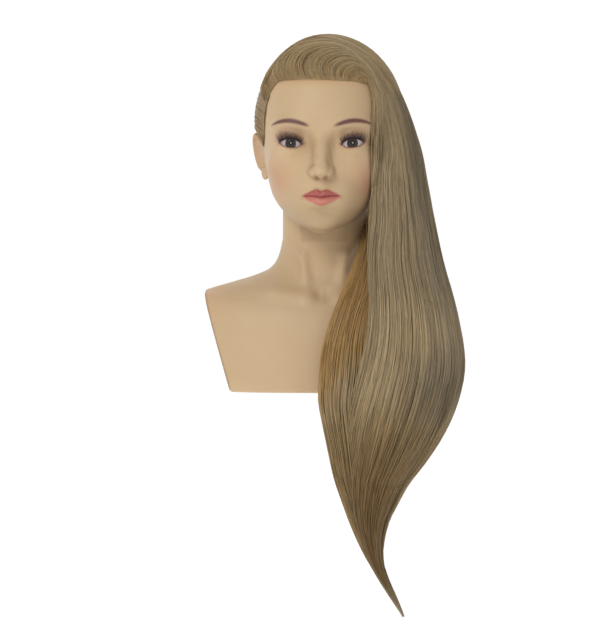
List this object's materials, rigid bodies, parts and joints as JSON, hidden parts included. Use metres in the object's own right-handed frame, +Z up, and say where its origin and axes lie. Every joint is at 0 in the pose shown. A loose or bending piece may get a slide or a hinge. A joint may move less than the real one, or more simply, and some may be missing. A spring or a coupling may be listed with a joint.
{
  "type": "mannequin training head",
  "caption": "Hairdresser training head and neck on a cut-off shoulder bust, with painted face and very long straight hair swept to one side, for cutting and styling on a holder.",
  "frame": {"origin": "centre of the holder socket's mouth, on the flat underside of the base", "axes": "+Z up through the neck to the crown; the face looks along -Y; +X is the mannequin's own left, the side the hair hangs on"},
  "size_m": [0.2798, 0.2255, 0.6435],
  "materials": {
    "vinyl_skin": "soft moulded vinyl, matt, flesh tint, painted lips, brows and blush",
    "latex": "cream latex",
    "foam": "pale rigid polyurethane foam",
    "base_plastic": "black ABS, fine texture",
    "screw_steel": "zinc plated",
    "eye_white": "glossy acrylic",
    "iris_print": "dark brown printed iris with black pupil",
    "cornea_clear": "clear acrylic",
    "lash_fibre": "black-brown synthetic fibre",
    "hair_ash": "ash-blonde human hair, silky",
    "hair_gold": "golden-blonde human hair, silky"
  },
  "bodies": {
    "mannequin": {"head_skin": "vinyl_skin", "root_lining": "latex", "foam_core": "foam", "base_plate": "base_plastic", "holder_socket": "base_plastic", "socket_screws": "screw_steel", "base_screws": "screw_steel", "eyeball_right": "eye_white", "eyeball_left": "eye_white", "iris_right": "iris_print", "iris_left": "iris_print", "cornea_right": "cornea_clear", "cornea_left": "cornea_clear", "lashes_right": "lash_fibre", "lashes_left": "lash_fibre", "hair_front_wave": "hair_ash", "hair_crown": "hair_ash", "hair_side_right": "hair_ash", "hair_side_left": "hair_ash", "hair_back": "hair_ash", "hair_drape": "hair_ash", "hair_nape_layer": "hair_gold"},
    "fall": {"hair_fall_outer": "hair_ash", "hair_fall_inner": "hair_gold"},
    "lower": {"hair_lower": "hair_ash"},
    "tip": {"hair_tip": "hair_ash"}
  },
  "joints": [
    {"name": "fall_lift", "type": "hinge", "parent": "mannequin", "child": "fall", "pos_m": [0.086, -0.078, 0.15], "axis": [-1, 0, 0], "range_deg": [0, 40], "stiffness_Nm_per_rad": 0.6},
    {"name": "fall_bend", "type": "hinge", "parent": "fall", "child": "lower", "pos_m": [0.066, -0.106, -0.024], "axis": [-1, 0, 0], "range_deg": [-20, 35], "stiffness_Nm_per_rad": 0.3},
    {"name": "tip_swing", "type": "hinge", "parent": "lower", "child": "tip", "pos_m": [0.047, -0.1, -0.15], "axis": [0, 1, 0], "range_deg": [-30, 30], "stiffness_Nm_per_rad": 0.1}
  ]
}
